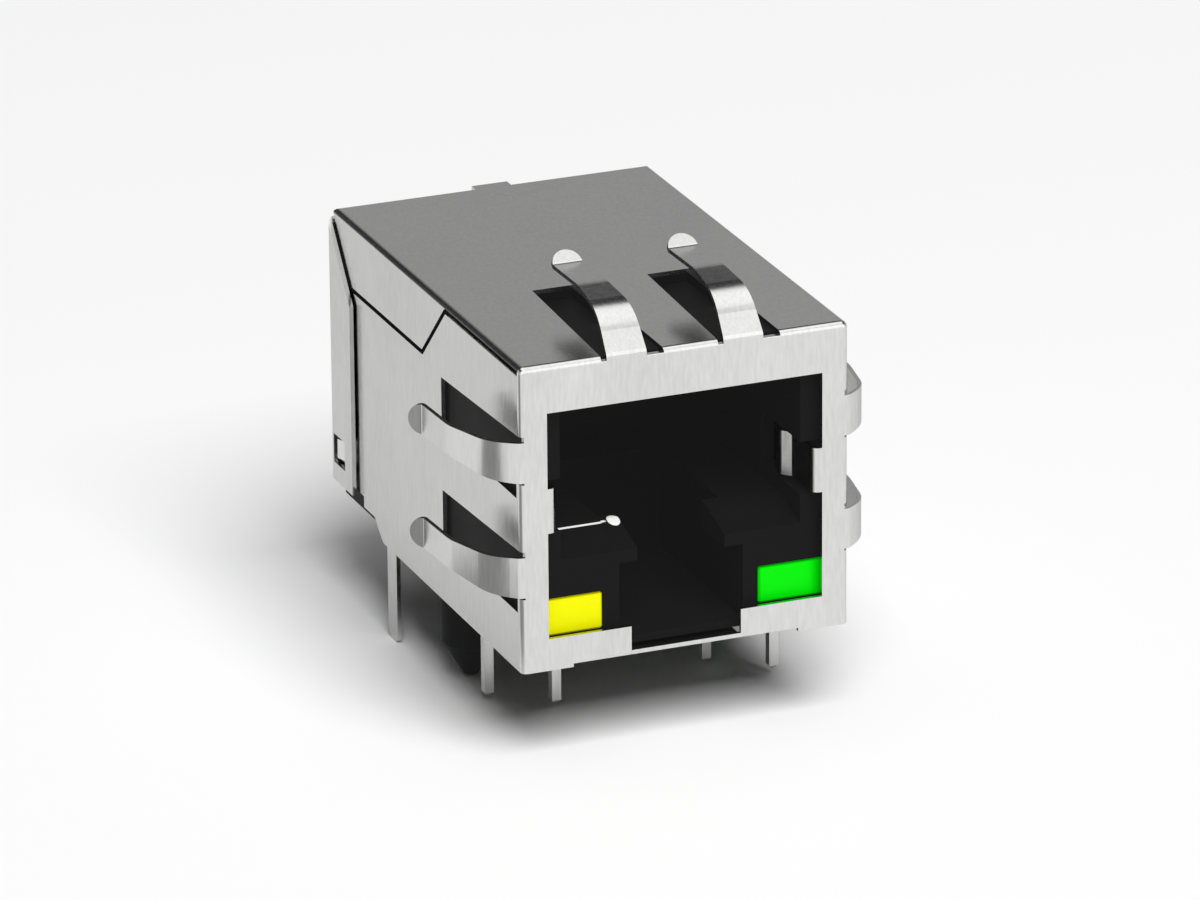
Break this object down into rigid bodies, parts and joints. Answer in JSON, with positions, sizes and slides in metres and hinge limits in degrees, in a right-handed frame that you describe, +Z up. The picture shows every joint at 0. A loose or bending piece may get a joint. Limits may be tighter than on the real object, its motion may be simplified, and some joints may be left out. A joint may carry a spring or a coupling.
{
  "type": "shielded board jack with indicator lamps and filter",
  "caption": "Shielded right-angle network jack for a circuit board, with panel spring fingers, a yellow and a green indicator lamp, and a built-in filter.",
  "frame": {"origin": "on the circuit board's surface, midway between the two locating posts", "axes": "+Z up out of the board, -Y out of the mouth towards the plug, +X to the right seen from the front"},
  "size_m": [0.0212, 0.0243, 0.0218],
  "materials": {
    "shield_metal": "bright nickel plate over rolled sheet",
    "black_plastic": "moulded, satin",
    "carrier_plastic": "moulded, satin",
    "contact_gold": "gold plate",
    "lead_tin": "tin plate",
    "lamp_yellow": "clear moulded, coloured",
    "lamp_green": "clear moulded, coloured",
    "board_laminate": "lacquered laminate",
    "ceramic": "fired",
    "ferrite": "lacquered"
  },
  "bodies": {
    "root": {"shield_shell": "shield_metal", "housing": "black_plastic", "contact_carrier": "carrier_plastic", "contact_1": "contact_gold", "contact_2": "contact_gold", "contact_3": "contact_gold", "contact_4": "contact_gold", "contact_5": "contact_gold", "contact_6": "contact_gold", "contact_7": "contact_gold", "contact_8": "contact_gold", "lamp_left": "lamp_yellow", "lamp_left_outer_lead": "lead_tin", "lamp_left_inner_lead": "lead_tin", "lamp_right": "lamp_green", "lamp_right_outer_lead": "lead_tin", "lamp_right_inner_lead": "lead_tin", "circuit_board": "board_laminate", "resistor_1": "ceramic", "resistor_2": "ceramic", "resistor_3": "ceramic", "resistor_4": "ceramic", "capacitor": "ceramic", "filter_case": "carrier_plastic", "signal_pin_1": "lead_tin", "signal_pin_2": "lead_tin", "signal_pin_3": "lead_tin", "signal_pin_4": "lead_tin", "signal_pin_5": "lead_tin", "signal_pin_6": "lead_tin", "signal_pin_7": "lead_tin", "signal_pin_8": "lead_tin", "transformer_left": "ferrite", "transformer_right": "ferrite", "choke_left": "ferrite", "choke_right": "ferrite"}
  },
  "joints": []
}
